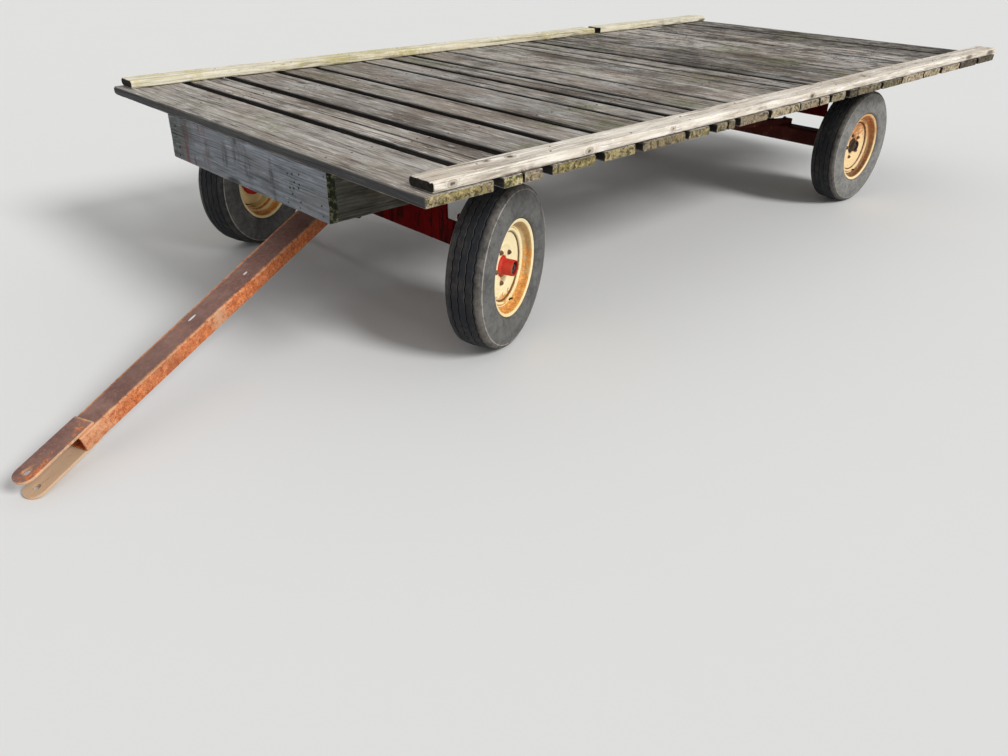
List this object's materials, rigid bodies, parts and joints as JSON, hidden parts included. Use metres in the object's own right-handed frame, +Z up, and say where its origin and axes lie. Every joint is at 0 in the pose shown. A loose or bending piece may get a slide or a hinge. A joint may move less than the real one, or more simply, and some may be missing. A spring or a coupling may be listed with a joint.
{
  "type": "hay wagon",
  "caption": "Flat hay wagon: gapped plank deck with edge rails on a steel running gear, with knuckle steering, a long clevis tongue resting on the ground and ribbed tyres.",
  "frame": {"origin": "on the ground, midway between the deck's rear edge and the tongue's tip, in the wagon's middle plane", "axes": "+X forward towards the tongue, +Y to the wagon's left, +Z up"},
  "size_m": [6.114, 2.438, 0.869],
  "materials": {
    "deck_wood": "weathered, bare, silver grey",
    "rail_wood": "weathered, bare, bleached",
    "frame_wood": "weathered, bare, dark",
    "board_wood": "weathered, worn red-brown",
    "red_steel": "old deep red paint",
    "dark_steel": "old dark red paint",
    "rusty_steel": "rusted, worn paint",
    "cream_rim": "cream paint with rust",
    "tan_rim": "orange tan paint with rust",
    "red_hub": "old red paint, greasy",
    "dark_hub": "dark, greasy",
    "tyre": "matt, dusty"
  },
  "bodies": {
    "wagon": {"deck_planks": "deck_wood", "left_rail": "rail_wood", "right_rail_front": "rail_wood", "right_rail_rear": "rail_wood", "left_sill": "frame_wood", "right_sill": "frame_wood", "front_board": "board_wood", "rear_board": "board_wood", "front_axle": "red_steel", "rear_axle": "dark_steel", "rear_bolster": "red_steel", "reach_pole": "dark_steel", "front_hound_collar": "dark_steel", "front_left_hound": "dark_steel", "front_right_hound": "dark_steel", "rear_hound_collar": "dark_steel", "rear_left_hound": "dark_steel", "rear_right_hound": "dark_steel"},
    "steering_head": {"steering_head": "red_steel"},
    "tongue": {"tongue": "rusty_steel"},
    "left_knuckle": {"left_knuckle": "red_steel"},
    "right_knuckle": {"right_knuckle": "red_steel"},
    "tie_rod": {"tie_rod": "dark_steel"},
    "front_left_wheel": {"front_left_tyre": "tyre", "front_left_rim": "cream_rim", "front_left_hub": "red_hub"},
    "front_right_wheel": {"front_right_tyre": "tyre", "front_right_rim": "cream_rim", "front_right_hub": "red_hub"},
    "rear_left_wheel": {"rear_left_tyre": "tyre", "rear_left_rim": "tan_rim", "rear_left_hub": "dark_hub"},
    "rear_right_wheel": {"rear_right_tyre": "tyre", "rear_right_rim": "tan_rim", "rear_right_hub": "dark_hub"}
  },
  "joints": [
    {"name": "tongue_swing", "type": "hinge", "parent": "wagon", "child": "steering_head", "pos_m": [1.24297, 0, 0.5], "axis": [0, 0, 1], "range_deg": [-52, 8]},
    {"name": "tongue_lift", "type": "hinge", "parent": "steering_head", "child": "tongue", "pos_m": [1.41914, 0.07118, 0.488], "axis": [0.3746, -0.9272, 0], "range_deg": [0, 22]},
    {"name": "left_steer", "type": "hinge", "parent": "wagon", "child": "left_knuckle", "pos_m": [1.24297, 0.757, 0.45], "axis": [0, 0, 1], "range_deg": [-52, 8]},
    {"name": "right_steer", "type": "hinge", "parent": "wagon", "child": "right_knuckle", "pos_m": [1.24297, -0.757, 0.45], "axis": [0, 0, 1], "range_deg": [-52, 8]},
    {"name": "tie_rod_shift", "type": "hinge", "parent": "steering_head", "child": "tie_rod", "pos_m": [1.03899, -0.08241, 0.37], "axis": [0, 0, 1], "range_deg": [-8, 52]},
    {"name": "front_left_spin", "type": "hinge", "parent": "left_knuckle", "child": "front_left_wheel", "pos_m": [1.18678, 0.89608, 0.343], "axis": [-0.3746, 0.9272, 0], "continuous": true},
    {"name": "front_right_spin", "type": "hinge", "parent": "right_knuckle", "child": "front_right_wheel", "pos_m": [1.29916, -0.89608, 0.343], "axis": [-0.3746, 0.9272, 0], "continuous": true},
    {"name": "rear_left_spin", "type": "hinge", "parent": "wagon", "child": "rear_left_wheel", "pos_m": [-1.91503, 0.87, 0.343], "axis": [0, 1, 0], "continuous": true},
    {"name": "rear_right_spin", "type": "hinge", "parent": "wagon", "child": "rear_right_wheel", "pos_m": [-1.91503, -0.87, 0.343], "axis": [0, 1, 0], "continuous": true}
  ],
  "couplings": [
    {"joint": "left_steer", "follows": "tongue_swing", "ratio": 1},
    {"joint": "right_steer", "follows": "tongue_swing", "ratio": 1},
    {"joint": "tie_rod_shift", "follows": "tongue_swing", "ratio": -1}
  ]
}
